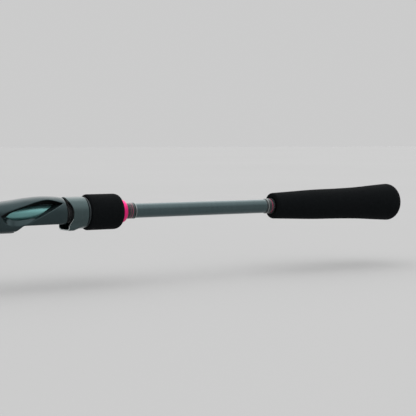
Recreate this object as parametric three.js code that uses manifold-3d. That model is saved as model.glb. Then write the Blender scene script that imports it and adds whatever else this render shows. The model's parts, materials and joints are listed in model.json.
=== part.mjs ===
// A two-piece spinning rod, joined ready for use, as an assembly of its separate parts.
//
// Units are millimetres. The rod's axis is the X axis: the origin is the centre of the butt
// end, +X points out of the butt, and the tip is at negative X. +Z is up, and the reel seat's
// bed and the line guides are on the -Z side, as on any spinning rod.

import * as THREE from 'three';
import { mergeVertices } from 'three/addons/utils/BufferGeometryUtils.js';
import Module from 'manifold-3d';

const wasm = await Module();
wasm.setup();

// ---------------------------------------------------------------- driving dimensions

const SIDES = 24; // facets round every coaxial piece, all in phase, so that they nest
const RING_SIDES = 16; // facets round a guide's ring
const FIT = 0.05; // radial clearance between coaxial pieces
const GAP = 0.3; // clearance beside pieces that are cut or lie off the axis

// Blank: a hollow tapered tube in two sections, joined by a tip-over-butt ferrule.
const ROD_LENGTH = 2130;
const TIP_X = -ROD_LENGTH;
const BLANK_RADIUS = 5.5; // parallel part, under the handle
const BLANK_BORE = 4.3;
const TAPER_START_X = -440;
const FERRULE_X = -1065; // mouth of the tip section, halfway along the rod
const FERRULE_OVERLAP = 70;
const FERRULE_RADIUS = 3.75; // butt section at the mouth
const SPIGOT_END_RADIUS = 3.6;
const FERRULE_CLEARANCE = 0.08;
const FERRULE_WALL = 0.7;
const TIP_RADIUS = 0.85;

// Rear grip, from the collar to the flared butt.
const GRIP_FRONT_X = -129;
const GRIP_FRONT_RADIUS = 10.3;
const GRIP_MIDDLE_RADIUS = 12.3;
const GRIP_FLARE_RADIUS = 15.4;
const GRIP_END_X = -2; // the butt cap stands proud of the foam
const CAP_RADIUS = 8.6;
const CAP_DEPTH = 5;
const PLUG_LENGTH = 15;

// Reel seat, from its front end to the back of the lock nut.
const SEAT_FRONT_X = -398;
const SEAT_REAR_X = -315.3;
const SEAT_BORE = 6.3;
const BED_Z = -7.5; // the flat that the reel's foot is clamped against
const POCKET_HALF_WIDTH = 7.9;
const POCKET_FLOOR_Z = -11.75; // floor of a hood's pocket at its mouth
const SLEEVE_RADIUS = 5.95;
const BARREL_RADIUS = 7.35;
const BARREL_REAR_X = -274;
const KEYWAY_WIDTH = 2.8;
const KEYWAY_DEPTH = 0.9;

// Moving hood and lock nut, at rest with the hood run fully forward.
const HOOD_FRONT_X = -314.3;
const HOOD_REAR_X = -298.5;
const HOOD_RADIUS = 11.6;
const HOOD_WALL = 1.1;
const NUT_REAR_X = -269;
const NUT_WALL_RADIUS = 9.4;
const NUT_GRIP_RADIUS = 13.1;
const NUT_END_X = -264.4;
const NUT_END_BORE = 6.2;

// Foregrip, in front of the seat.
const FOREGRIP_FRONT_X = -432;

// Line guides on the tip section, counted from the tip: distance of the ring from the tip, outer
// diameter of the ring, and distance of the ring's centre from the rod's axis.
const TIP_GUIDES = [
  { fromTip: 100, ringSize: 6, height: 8.5 },
  { fromTip: 210, ringSize: 6, height: 9.2 },
  { fromTip: 335, ringSize: 7, height: 11 },
  { fromTip: 480, ringSize: 8, height: 13.5 },
  { fromTip: 655, ringSize: 10, height: 18 },
  { fromTip: 880, ringSize: 16, height: 27 },
];
const STRIPPER_GUIDE = { fromTip: 1170, ringSize: 25, height: 38 };
const TIP_TOP_RING_SIZE = 6;
const WRAP_WALL = 0.45; // thread and its epoxy

// ---------------------------------------------------------------- finishes

const FINISHES = {
  blank: { color: 0x15181a, roughness: 0.18, metalness: 0.1 },
  foam: { color: 0x151616, roughness: 0.95, metalness: 0 },
  seat: { color: 0x3a4446, roughness: 0.22, metalness: 0.75 },
  sleeve: { color: 0x8fa6a8, roughness: 0.35, metalness: 0.8 },
  nylon: { color: 0x1b1c1d, roughness: 0.5, metalness: 0 },
  pink: { color: 0xd02a62, roughness: 0.3, metalness: 0.85 },
  bright: { color: 0xb9bec0, roughness: 0.25, metalness: 1 },
  darkMetal: { color: 0x2e3335, roughness: 0.3, metalness: 0.9 },
  thread: { color: 0x1c2022, roughness: 0.25, metalness: 0 },
  ceramic: { color: 0x1a1b1d, roughness: 0.1, metalness: 0 },
  rubber: { color: 0x111111, roughness: 0.85, metalness: 0 },
};

const rod = new THREE.Group();

function add(name, geometry, finish) {
  const mesh = new THREE.Mesh(geometry, new THREE.MeshStandardMaterial(FINISHES[finish]));
  mesh.name = name;
  rod.add(mesh);
  return mesh;
}

// ---------------------------------------------------------------- shape helpers

// A body turned about the rod's axis. The outline is a list of [x, radius] that runs from low x
// to high x over the outside, and either closes on itself or starts and ends on the axis.
function turned(outline, sides = SIDES) {
  const points = outline.map(([x, radius]) => new THREE.Vector2(radius, x));
  return new THREE.LatheGeometry(points, sides).rotateZ(-Math.PI / 2);
}

// A turned tube: outer and inner are lists of [x, radius], both from low x to high x.
function tube(outer, inner, sides = SIDES) {
  return turned([...outer, ...[...inner].reverse(), outer[0]], sides);
}

// A plain ring of one bore and one outer radius.
function ring(startX, endX, bore, radius, sides = SIDES) {
  return tube([[startX, radius], [endX, radius]], [[startX, bore], [endX, bore]], sides);
}

// A plain round bar on the axis, for cutting bores.
function bar(startX, endX, radius, sides = SIDES) {
  return turned([[startX, 0], [startX, radius], [endX, radius], [endX, 0]], sides);
}

// A convex body through rings of points. The rings follow each other along an axis, and each
// ring turns counter-clockwise as seen from beyond the last ring.
function loft(rings) {
  const count = rings[0].length;
  const positions = [];
  const triangle = (a, b, c) => positions.push(...a.toArray(), ...b.toArray(), ...c.toArray());
  for (let i = 0; i + 1 < rings.length; i += 1) {
    for (let j = 0; j < count; j += 1) {
      const k = (j + 1) % count;
      triangle(rings[i][j], rings[i][k], rings[i + 1][j]);
      triangle(rings[i][k], rings[i + 1][k], rings[i + 1][j]);
    }
  }
  const first = rings[0];
  const last = rings[rings.length - 1];
  for (let j = 1; j + 1 < count; j += 1) {
    triangle(first[0], first[j + 1], first[j]);
    triangle(last[0], last[j], last[j + 1]);
  }
  const geometry = new THREE.BufferGeometry();
  geometry.setAttribute('position', new THREE.Float32BufferAttribute(positions, 3));
  return geometry;
}

// A flat outline in the XZ plane, given as [x, z] points, extruded evenly to both sides of y = 0.
function slab(outline, halfWidth) {
  const shape = new THREE.Shape(outline.map(([x, z]) => new THREE.Vector2(x, z)));
  const geometry = new THREE.ExtrudeGeometry(shape, { depth: 2 * halfWidth, bevelEnabled: false });
  return geometry.translate(0, 0, -halfWidth).rotateX(Math.PI / 2);
}

function block(lowX, highX, halfWidth, lowZ, highZ) {
  const geometry = new THREE.BoxGeometry(highX - lowX, 2 * halfWidth, highZ - lowZ);
  return geometry.translate((lowX + highX) / 2, 0, (lowZ + highZ) / 2);
}

// A round wire along a curve.
function wire(curve, radius, steps) {
  const section = new THREE.Shape();
  section.absarc(0, 0, radius, 0, 2 * Math.PI);
  return new THREE.ExtrudeGeometry(section, {
    extrudePath: curve,
    steps,
    curveSegments: 3,
    bevelEnabled: false,
  });
}

function solid(geometry) {
  const plain = geometry.clone();
  plain.deleteAttribute('normal');
  plain.deleteAttribute('uv');
  const merged = mergeVertices(plain.index ? plain.toNonIndexed() : plain, 1e-4);
  return new wasm.Manifold(new wasm.Mesh({
    numProp: 3,
    vertProperties: new Float32Array(merged.attributes.position.array),
    triVerts: new Uint32Array(merged.index.array),
  }));
}

function shell(manifold) {
  const { vertProperties, triVerts } = manifold.getMesh();
  const geometry = new THREE.BufferGeometry();
  geometry.setAttribute('position', new THREE.BufferAttribute(vertProperties, 3));
  geometry.setIndex(new THREE.BufferAttribute(triVerts, 1));
  return geometry;
}

function joined(...geometries) {
  return geometries.map(solid).reduce((all, next) => all.add(next));
}

function mix(from, to, share) {
  return from + (to - from) * share;
}

// ---------------------------------------------------------------- blank

function buttRadius(x) {
  const share = Math.max(0, (TAPER_START_X - x) / (TAPER_START_X - FERRULE_X));
  return mix(BLANK_RADIUS, FERRULE_RADIUS, share);
}

const SOCKET_RADIUS = FERRULE_RADIUS + FERRULE_CLEARANCE;
const SOCKET_END_X = FERRULE_X - FERRULE_OVERLAP - 15;

function tipRadius(x) {
  const share = (FERRULE_X - x) / (FERRULE_X - TIP_X);
  return mix(SOCKET_RADIUS + FERRULE_WALL, TIP_RADIUS, share);
}

function addBlank() {
  const spigotEndX = FERRULE_X - FERRULE_OVERLAP;
  const rearX = -CAP_DEPTH - GAP;
  add('butt_blank', tube(
    [[spigotEndX, SPIGOT_END_RADIUS], [FERRULE_X, FERRULE_RADIUS],
      [TAPER_START_X, BLANK_RADIUS], [rearX, BLANK_RADIUS]],
    [[spigotEndX, SPIGOT_END_RADIUS - 0.6], [FERRULE_X, FERRULE_RADIUS - 0.8],
      [TAPER_START_X, BLANK_BORE], [rearX, BLANK_BORE]],
  ), 'blank');
  add('tip_blank', tube(
    [[TIP_X + 1, TIP_RADIUS], [FERRULE_X, tipRadius(FERRULE_X)]],
    [[TIP_X + 1, TIP_RADIUS / 2], [SOCKET_END_X, tipRadius(SOCKET_END_X) - FERRULE_WALL],
      [spigotEndX, SPIGOT_END_RADIUS + FERRULE_CLEARANCE], [FERRULE_X, SOCKET_RADIUS]],
  ), 'blank');
  const bandRadius = tipRadius(FERRULE_X) + FIT;
  add('ferrule_wrap', ring(FERRULE_X - 42, FERRULE_X - 0.5, bandRadius, bandRadius + WRAP_WALL), 'thread');
}

// ---------------------------------------------------------------- rear grip

function addRearGrip() {
  const bore = BLANK_RADIUS + FIT;
  add('rear_grip', tube(
    [[GRIP_FRONT_X, GRIP_FRONT_RADIUS - 0.6], [GRIP_FRONT_X + 0.8, GRIP_FRONT_RADIUS],
      [-88, GRIP_MIDDLE_RADIUS - 0.3], [-60, GRIP_MIDDLE_RADIUS + 0.3], [-30, 13.8],
      [-14, GRIP_FLARE_RADIUS - 0.3], [-8.5, GRIP_FLARE_RADIUS], [-5.2, 14.6], [-2.9, 12.4],
      [GRIP_END_X, 9.8]],
    [[GRIP_FRONT_X, bore], [-CAP_DEPTH - 0.2, bore], [-CAP_DEPTH - 0.2, CAP_RADIUS + FIT],
      [GRIP_END_X, CAP_RADIUS + FIT]],
  ), 'foam');
  add('butt_cap', turned([[-CAP_DEPTH - PLUG_LENGTH, 0], [-CAP_DEPTH - PLUG_LENGTH, BLANK_BORE - FIT],
    [-CAP_DEPTH, BLANK_BORE - FIT], [-CAP_DEPTH, CAP_RADIUS], [-1, CAP_RADIUS],
    [0, CAP_RADIUS - 0.8], [0, 0]]), 'rubber');
  add('rear_grip_check', ring(GRIP_FRONT_X - 1.5, GRIP_FRONT_X - 0.1, bore, bore + 0.65), 'darkMetal');
  add('rear_trim_wrap', ring(GRIP_FRONT_X - 8, GRIP_FRONT_X - 1.6, bore, bore + WRAP_WALL), 'thread');
}

// ---------------------------------------------------------------- reel seat body

// Outside of the seat at stations along the rod: height of the top, depth of the underside and
// half the width, all from the axis. The underside's section is a superellipse: an exponent of 2
// is round, and a higher one leaves room for the fixed hood's square pocket.
const SEAT_STATIONS = [
  { x: SEAT_FRONT_X, top: 8.5, bottom: 8.5, half: 8.5, exponent: 2 },
  { x: -390, top: 8.8, bottom: 9.9, half: 9, exponent: 2.3 },
  { x: -378, top: 9, bottom: 12, half: 9.8, exponent: 3 },
  { x: -366, top: 9.3, bottom: 12.8, half: 10.4, exponent: 3.6 },
  { x: -357, top: 10.2, bottom: 12.8, half: 10.9, exponent: 3.4 },
  { x: -344, top: 11.8, bottom: 12.6, half: 11.2, exponent: 2.5 },
  { x: -333, top: 12.5, bottom: 12.2, half: 11.3, exponent: 2 },
  { x: -324, top: 12.2, bottom: 11.8, half: 11.2, exponent: 2 },
  { x: -318, top: 11.6, bottom: 11.4, half: 11, exponent: 2 },
  { x: SEAT_REAR_X, top: 10.9, bottom: 10.9, half: 10.5, exponent: 2 },
];

function seatSection({ x, top, bottom, half, exponent }) {
  const points = [];
  for (let i = 0; i < SIDES; i += 1) {
    const angle = (2 * Math.PI * i) / SIDES;
    const below = Math.sin(angle) < 0;
    const power = below ? 2 / exponent : 1;
    const across = Math.sign(Math.cos(angle)) * Math.abs(Math.cos(angle)) ** power;
    const upwards = Math.sign(Math.sin(angle)) * Math.abs(Math.sin(angle)) ** power;
    points.push(new THREE.Vector3(x, half * across, (below ? bottom : top) * upwards));
  }
  return points;
}

// The side windows are cut by a loft from an outline on the seat's skin to a smaller one beside the
// sleeve, so that their rims are bevelled. Each rim runs from the window's front tip to its rear
// tip, as [x, distance from the middle plane, z].
const WINDOW_OUTSIDE = {
  upper: [[-367, 10.2, -0.3], [-362.5, 10, 1.9], [-355.5, 9.4, 4.2], [-347, 8.3, 6.5], [-339, 6.5, 8.6],
    [-329, 5.3, 9.9], [-318.5, 7.6, 7.4]],
  lower: [[-367, 10.2, -0.3], [-364, 10.2, -4.3], [-358, 10.2, -7], [-350, 10.2, -6.9],
    [-341, 10.2, -3.4], [-330, 10, 1.9], [-318.5, 7.6, 7.4]],
};
const WINDOW_INSIDE = {
  upper: [[-361, 6.2, -0.9], [-358.5, 5.9, 0.9], [-354, 5.5, 2.7], [-347, 4.8, 4.8], [-339, 3.8, 6.1],
    [-332, 3, 6.9], [-322.5, 3, 7.1]],
  lower: [[-361, 6.2, -0.9], [-359.5, 8.2, -2.3], [-355, 8.2, -3.4], [-348, 8.2, -3.2],
    [-340, 8.2, -1.7], [-331.5, 7.6, 2.4], [-322.5, 3, 7.1]],
};
const WINDOW_STEPS = 12;

// One window outline, counter-clockwise as seen from the -Y side. side is 1 or -1; flatY, if given,
// moves the whole outline to that distance from the middle plane.
function windowRing({ upper, lower }, side, flatY) {
  const alongRim = (rim) => new THREE.CatmullRomCurve3(
    rim.map(([x, y, z]) => new THREE.Vector3(x, side * (flatY ?? y), z))).getPoints(WINDOW_STEPS);
  return [...alongRim(lower).slice(0, -1), ...alongRim(upper).slice(1).reverse()];
}

function windowCutter(side) {
  const rings = [
    windowRing(WINDOW_OUTSIDE, side, 16), windowRing(WINDOW_OUTSIDE, side),
    windowRing(WINDOW_INSIDE, side), windowRing(WINDOW_INSIDE, side, 2),
  ];
  return solid(loft(side > 0 ? rings : rings.reverse()));
}

// A U-shaped section below the axis, for a pocket that takes one end of the reel's foot.
const POCKET_CORNER = 2;

function pocketSection(x, halfWidth, floorZ, topZ = 0) {
  return [
    [halfWidth, topZ], [-halfWidth, topZ], [-halfWidth, floorZ + POCKET_CORNER],
    [-halfWidth + POCKET_CORNER, floorZ], [halfWidth - POCKET_CORNER, floorZ],
    [halfWidth, floorZ + POCKET_CORNER],
  ].map(([y, z]) => new THREE.Vector3(x, y, z));
}

function addSeatBody() {
  const outside = solid(loft(SEAT_STATIONS.map(seatSection)));
  const bore = solid(bar(SEAT_FRONT_X - 5, SEAT_REAR_X + 5, SEAT_BORE));
  const windows = windowCutter(1).add(windowCutter(-1));
  const underside = solid(slab([[-357, -14], [-349.5, BED_Z], [SEAT_REAR_X + 1, BED_Z],
    [SEAT_REAR_X + 1, -14]], 20));
  const pocket = solid(loft([
    pocketSection(-371, POCKET_HALF_WIDTH, -9.6, BED_Z + GAP),
    pocketSection(-364, POCKET_HALF_WIDTH, POCKET_FLOOR_Z, BED_Z + GAP),
    pocketSection(-349, POCKET_HALF_WIDTH, POCKET_FLOOR_Z, BED_Z + GAP),
  ]));
  const body = outside.subtract(bore).subtract(windows).subtract(underside).subtract(pocket);
  add('reel_seat_body', shell(body), 'seat');
}

function addSeatCore() {
  const bore = BLANK_RADIUS + FIT;
  add('core_sleeve', ring(SEAT_FRONT_X, SEAT_REAR_X, bore, SLEEVE_RADIUS), 'sleeve');
  const barrel = solid(ring(SEAT_REAR_X + GAP, BARREL_REAR_X, bore, BARREL_RADIUS));
  const keyway = solid(block(SEAT_REAR_X - 1, BARREL_REAR_X + 1, KEYWAY_WIDTH / 2,
    BARREL_RADIUS - KEYWAY_DEPTH, BARREL_RADIUS + 1));
  add('threaded_barrel', shell(barrel.subtract(keyway)), 'nylon');
}

// ---------------------------------------------------------------- moving hood and lock nut

function addMovingHood() {
  const outerHalfWidth = POCKET_HALF_WIDTH + 0.9;
  const outerFloorZ = POCKET_FLOOR_Z - 0.85;
  const band = solid(turned([[HOOD_FRONT_X, 0], [HOOD_FRONT_X, HOOD_RADIUS - 0.3],
    [HOOD_FRONT_X + 0.6, HOOD_RADIUS], [HOOD_REAR_X - 1.2, HOOD_RADIUS],
    [HOOD_REAR_X, HOOD_RADIUS - 0.7], [HOOD_REAR_X, 0]]));
  const pocketOutside = solid(loft([
    pocketSection(HOOD_FRONT_X + 0.5, outerHalfWidth, outerFloorZ),
    pocketSection(HOOD_FRONT_X + 5, outerHalfWidth, outerFloorZ),
    pocketSection(HOOD_REAR_X - 0.6, outerHalfWidth - 1.4, -HOOD_RADIUS + 2.2),
  ]));
  const pocketInside = solid(loft([
    pocketSection(HOOD_FRONT_X - 2, POCKET_HALF_WIDTH, POCKET_FLOOR_Z),
    pocketSection(HOOD_FRONT_X + 5, POCKET_HALF_WIDTH, POCKET_FLOOR_Z),
    pocketSection(HOOD_REAR_X - 3.5, POCKET_HALF_WIDTH, -HOOD_RADIUS + 3),
  ]));
  const linerSpace = solid(bar(HOOD_FRONT_X - 5, HOOD_REAR_X + 5, HOOD_RADIUS - HOOD_WALL));
  const scallopRadius = 16;
  const scallop = solid(new THREE.CylinderGeometry(scallopRadius, scallopRadius, 40, 40)
    .translate(HOOD_FRONT_X + 3.2 - scallopRadius, 0, 0));
  const hood = band.add(pocketOutside).subtract(linerSpace).subtract(pocketInside).subtract(scallop);
  add('moving_hood', shell(hood), 'seat');

  const linerFrontX = HOOD_FRONT_X + 3.7;
  const linerRearX = HOOD_REAR_X - 0.1;
  const liner = solid(ring(linerFrontX, linerRearX, BARREL_RADIUS + 0.1, HOOD_RADIUS - HOOD_WALL - FIT));
  const footSpace = solid(block(linerFrontX - 1, linerRearX - 3, POCKET_HALF_WIDTH, -14, BED_Z + 0.1));
  const key = solid(block(linerFrontX, linerRearX, KEYWAY_WIDTH / 2 - GAP,
    BARREL_RADIUS - KEYWAY_DEPTH + GAP, BARREL_RADIUS + 1));
  add('hood_liner', shell(liner.subtract(footSpace).add(key)), 'nylon');
}

function addLockNut() {
  const lipRearX = HOOD_REAR_X + 1.7;
  const bore = BARREL_RADIUS + 0.1;
  add('lock_nut', ring(lipRearX + 0.1, NUT_REAR_X, bore, NUT_WALL_RADIUS), 'nylon');
  add('nut_lip_ring', ring(HOOD_REAR_X + 0.2, lipRearX, bore, HOOD_RADIUS - 0.5), 'darkMetal');
  add('nut_grip', tube(
    [[lipRearX + 0.1, NUT_GRIP_RADIUS - 0.8], [lipRearX + 0.9, NUT_GRIP_RADIUS],
      [NUT_REAR_X - 4, NUT_GRIP_RADIUS], [NUT_REAR_X - 1.6, NUT_GRIP_RADIUS - 0.9],
      [NUT_REAR_X - 0.4, NUT_GRIP_RADIUS - 2.6], [NUT_REAR_X, NUT_GRIP_RADIUS - 3.4]],
    [[lipRearX + 0.1, NUT_WALL_RADIUS + FIT], [NUT_REAR_X, NUT_WALL_RADIUS + FIT]],
  ), 'foam');
  add('nut_end_ring', tube(
    [[NUT_REAR_X + 0.1, 8.9], [NUT_REAR_X + 2, 8.7], [NUT_END_X - 1.1, 8.2], [NUT_END_X, 7]],
    [[NUT_REAR_X + 0.1, NUT_END_BORE], [NUT_END_X, NUT_END_BORE]],
  ), 'pink');
}

function addFrontTrim() {
  const bore = BLANK_RADIUS + FIT;
  add('front_trim_wrap', ring(NUT_END_X + 0.2, -257.2, bore, bore + WRAP_WALL - 0.05), 'thread');
  add('front_trim_ring', ring(-257.1, -256.1, bore, bore + WRAP_WALL), 'bright');
}

// ---------------------------------------------------------------- foregrip and hook keeper

function addForegrip() {
  const bore = BLANK_RADIUS + FIT;
  add('foregrip_rear_check', ring(SEAT_FRONT_X - 1.8, SEAT_FRONT_X - 0.2, bore, 9.4), 'pink');
  add('foregrip', tube(
    [[FOREGRIP_FRONT_X, 7], [FOREGRIP_FRONT_X + 1.5, 8], [-418, 9.4], [-406, 10.6], [-401, 10.6],
      [SEAT_FRONT_X - 2, 9.8]],
    [[FOREGRIP_FRONT_X, bore], [SEAT_FRONT_X - 2, bore]],
  ), 'foam');
  add('foregrip_check', tube(
    [[FOREGRIP_FRONT_X - 3.2, 6.1], [FOREGRIP_FRONT_X - 0.1, 7]],
    [[FOREGRIP_FRONT_X - 3.2, bore], [FOREGRIP_FRONT_X - 0.1, bore]],
  ), 'pink');
}

// A section that follows the blank round the top, and runs down in straight tangents to a foot
// under it. Its facets lie outside the radius, so that it clears a blank with corners.
const WRAP_ARC_STEPS = 9;

function wrapOutline(path, blankRadius, halfWidth, depth) {
  const radius = blankRadius / Math.cos(Math.PI / WRAP_ARC_STEPS / 1.5);
  const tilt = Math.atan2(depth, halfWidth) - Math.acos(radius / Math.hypot(depth, halfWidth));
  path.absarc(0, 0, radius, -tilt, Math.PI + tilt);
  path.lineTo(-halfWidth, -depth);
  path.lineTo(halfWidth, -depth);
  path.closePath();
  return path;
}

// Thread wrapped round the blank and a foot that lies along its underside.
function wrapOverFoot(lowX, highX, blankRadius, foot) {
  const bore = blankRadius + FIT;
  const footDepth = foot.depth + FIT;
  const outline = wrapOutline(new THREE.Shape(), bore + WRAP_WALL, foot.halfWidth + WRAP_WALL,
    footDepth + WRAP_WALL);
  outline.holes.push(wrapOutline(new THREE.Path(), bore, foot.halfWidth + FIT, footDepth));
  const geometry = new THREE.ExtrudeGeometry(outline, {
    depth: highX - lowX,
    curveSegments: WRAP_ARC_STEPS,
    bevelEnabled: false,
  });
  // The extrusion runs along +Z: turn it to run along +X with the outline's up at +Z.
  const turn = new THREE.Matrix4().makeBasis(
    new THREE.Vector3(0, 1, 0), new THREE.Vector3(0, 0, 1), new THREE.Vector3(1, 0, 0));
  return geometry.applyMatrix4(turn).translate(lowX, 0, 0);
}

function footOn(blankRadius, halfWidth, thickness) {
  return { halfWidth, top: blankRadius + 2 * FIT, depth: blankRadius + 2 * FIT + thickness };
}

function footBlock(lowX, highX, foot) {
  return block(lowX, highX, foot.halfWidth, -foot.depth, -foot.top);
}

function addHookKeeper() {
  const radius = buttRadius(-470);
  const foot = footOn(BLANK_RADIUS, 0.7, 0.9);
  const frontX = -482;
  const rearX = -466;
  const middle = (frontX + rearX) / 2;
  const wireZ = -(foot.top + foot.depth) / 2;
  const bow = new THREE.QuadraticBezierCurve3(
    new THREE.Vector3(frontX + 4, 0, wireZ),
    new THREE.Vector3(middle, 0, wireZ - 11),
    new THREE.Vector3(rearX - 4, 0, wireZ));
  const keeper = joined(wire(bow, 0.55, 8), footBlock(frontX - 5, frontX + 4.6, foot),
    footBlock(rearX - 4.6, rearX + 5, foot));
  add('hook_keeper', shell(keeper), 'darkMetal');
  add('keeper_front_wrap', wrapOverFoot(frontX - 6, frontX + 3, radius, foot), 'thread');
  add('keeper_rear_wrap', wrapOverFoot(rearX - 3, rearX + 6, radius, foot), 'thread');
}

// ---------------------------------------------------------------- line guides

// A ring whose axis is parallel to the rod's and whose centre hangs below the rod.
function hungRing(x, height, bore, radius, halfLength) {
  return ring(-halfLength, halfLength, bore, radius, RING_SIDES).translate(x, 0, -height);
}

// The space inside a hung ring, to cut its bore clear of the wires that join it.
function hungBore(x, height, radius) {
  return solid(bar(-5, 5, radius, RING_SIDES).translate(x, 0, -height));
}

// Adds one guide: a metal frame with its foot or feet, a ceramic ring inside it, and the thread
// over each foot. A single foot points to the butt. The ring leans forward, towards the tip.
function addGuide(label, { fromTip, ringSize, height }, blankRadiusAt, doubleFoot) {
  const ringX = TIP_X + fromTip;
  const ringRadius = ringSize / 2;
  const frameRadius = ringRadius + 0.5 + ringSize * 0.02;
  const wireRadius = 0.35 + ringSize * 0.02;
  const footLength = 8 + ringSize * 0.45;
  const lean = 2.5 + height * 0.35;
  const footX = ringX + lean;
  const foot = footOn(blankRadiusAt(footX), 0.6 + ringSize * 0.05, 0.45 + ringSize * 0.03);
  const footZ = -(foot.top + foot.depth) / 2;
  const pieces = [hungRing(ringX, height, ringRadius + FIT, frameRadius, 0.5 + ringSize * 0.03)];

  const leg = (side, toX) => wire(new THREE.QuadraticBezierCurve3(
    new THREE.Vector3(ringX, side * frameRadius * 0.83, -height + frameRadius * 0.5),
    new THREE.Vector3(mix(ringX, toX, 0.45), side * frameRadius * 0.6, mix(-height, footZ, 0.75)),
    new THREE.Vector3(toX, side * foot.halfWidth * 0.4, footZ)), wireRadius, 5);

  const wraps = [];
  const addFoot = (toX, direction) => {
    const endX = toX + direction * footLength;
    pieces.push(leg(1, toX), leg(-1, toX));
    pieces.push(footBlock(Math.min(toX - direction, endX), Math.max(toX - direction, endX), foot));
    wraps.push([Math.min(toX + direction * 1.5, endX), Math.max(toX + direction * 1.5, endX)]);
  };
  addFoot(footX, 1);
  if (doubleFoot) {
    addFoot(ringX - lean * 0.55, -1);
  }
  const frame = joined(...pieces).subtract(hungBore(ringX, height, ringRadius + FIT));
  add(`${label}_frame`, shell(frame), 'darkMetal');

  const ceramicHalf = 0.45 + ringSize * 0.03;
  const bore = ringRadius * 0.72 + 0.1;
  add(`${label}_ring`, tube(
    [[-ceramicHalf, ringRadius], [ceramicHalf, ringRadius]],
    [[-ceramicHalf, bore + 0.3], [0, bore], [ceramicHalf, bore + 0.3]],
    RING_SIDES,
  ).translate(ringX, 0, -height), 'ceramic');

  const names = doubleFoot ? ['rear_wrap', 'front_wrap'] : ['wrap'];
  names.forEach((name, i) => {
    const [lowX, highX] = wraps[i];
    add(`${label}_${name}`, wrapOverFoot(lowX, highX, blankRadiusAt(highX), foot), 'thread');
  });
}

function addTipTop() {
  const tubeBore = TIP_RADIUS + 0.35;
  const tubeRadius = tubeBore + 0.4;
  const ringRadius = TIP_TOP_RING_SIZE / 2;
  const frameRadius = ringRadius + 0.6;
  const ringX = TIP_X + 0.8;
  const height = tubeRadius + frameRadius + 1.2;
  const brace = (side) => wire(new THREE.QuadraticBezierCurve3(
    new THREE.Vector3(ringX, side * frameRadius * 0.8, -height + 1.5),
    new THREE.Vector3(TIP_X + 4, side * frameRadius * 0.7, -height * 0.6),
    new THREE.Vector3(TIP_X + 11, side * tubeRadius * 0.5, -tubeRadius * 0.8)), 0.42, 5);
  const strut = block(ringX - 0.7, ringX + 0.7, 0.6, -height + frameRadius - 0.3, -tubeRadius + 0.2);
  const frame = joined(
    ring(TIP_X, TIP_X + 14, tubeBore, tubeRadius, RING_SIDES),
    hungRing(ringX, height, ringRadius + FIT, frameRadius, 0.75), brace(1), brace(-1), strut);
  const bores = hungBore(ringX, height, ringRadius + FIT)
    .add(solid(bar(TIP_X - 2, TIP_X + 16, tubeBore, RING_SIDES)));
  add('tip_top_frame', shell(frame.subtract(bores)), 'darkMetal');
  add('tip_top_ring', hungRing(ringX, height, ringRadius * 0.72, ringRadius, 0.7), 'ceramic');
  const wrapBore = tipRadius(TIP_X + 24) + FIT;
  add('tip_top_wrap', ring(TIP_X + 14.3, TIP_X + 24, wrapBore, wrapBore + WRAP_WALL), 'thread');
}

// ---------------------------------------------------------------- assembly

addBlank();
addRearGrip();
addSeatBody();
addSeatCore();
addMovingHood();
addLockNut();
addFrontTrim();
addForegrip();
addHookKeeper();
addGuide('stripper_guide', STRIPPER_GUIDE, buttRadius, true);
TIP_GUIDES.forEach((guide, i) => {
  const label = `guide_${TIP_GUIDES.length - i + 1}`;
  addGuide(label, guide, tipRadius, guide.ringSize >= 16);
});
addTipTop();

export default rod;
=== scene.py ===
"""The fine surfaces, finishes, light and camera of a two-piece spinning rod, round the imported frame.

Lengths are millimetres in the frame's own axes, and new_piece() turns them into Blender's metres. The
rod lies along X, with its butt end at the origin and its tip at negative X. Up is +Z: the reel seat's
bed and the line guides are on the -Z side.
"""

import json
import math

import bmesh
import bpy
import numpy as np
import openvdb
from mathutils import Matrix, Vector


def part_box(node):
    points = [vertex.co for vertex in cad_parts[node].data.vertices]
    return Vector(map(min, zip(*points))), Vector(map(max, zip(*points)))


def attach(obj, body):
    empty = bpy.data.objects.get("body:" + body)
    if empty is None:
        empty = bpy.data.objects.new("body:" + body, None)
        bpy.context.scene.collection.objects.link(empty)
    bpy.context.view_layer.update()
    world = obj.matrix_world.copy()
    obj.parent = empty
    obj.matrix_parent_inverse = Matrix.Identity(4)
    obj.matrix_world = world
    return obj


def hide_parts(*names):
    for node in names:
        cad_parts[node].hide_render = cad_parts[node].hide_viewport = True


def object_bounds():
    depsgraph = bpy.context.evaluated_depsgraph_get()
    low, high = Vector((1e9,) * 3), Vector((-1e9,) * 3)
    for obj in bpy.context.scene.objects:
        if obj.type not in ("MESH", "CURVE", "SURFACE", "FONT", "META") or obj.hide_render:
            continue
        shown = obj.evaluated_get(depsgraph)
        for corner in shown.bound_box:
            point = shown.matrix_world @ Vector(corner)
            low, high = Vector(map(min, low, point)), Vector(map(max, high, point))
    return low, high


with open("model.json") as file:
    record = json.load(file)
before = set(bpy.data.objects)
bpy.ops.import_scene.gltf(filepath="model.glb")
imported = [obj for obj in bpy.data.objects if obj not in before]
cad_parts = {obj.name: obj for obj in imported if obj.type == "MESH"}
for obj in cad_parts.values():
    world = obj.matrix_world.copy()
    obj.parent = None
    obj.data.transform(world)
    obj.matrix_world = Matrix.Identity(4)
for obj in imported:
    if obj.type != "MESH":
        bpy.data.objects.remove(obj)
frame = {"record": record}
cad_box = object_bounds()

MM = 0.001
RECORD = frame["record"]
BODY_OF = {node: body for body, nodes in RECORD["behaviour"]["bodies"].items() for node in nodes}

TURN_SIDES = 96  # facets round a turned piece
GRIP_SIDES = 128  # facets round a foam grip
EDGE = 0.35  # usual radius of a broken edge
THREAD_PITCH = 2.0  # the lock nut's thread

# The camera looks at the middle of the handle, a little from above and from the tip's side.
CAMERA_TARGET = Vector((-0.190, 0, 0))
CAMERA_AZIMUTH = math.radians(-33)
CAMERA_ELEVATION = math.radians(3.1)
CAMERA_DISTANCE = 0.947
CAMERA_LENS = 105.7


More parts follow.
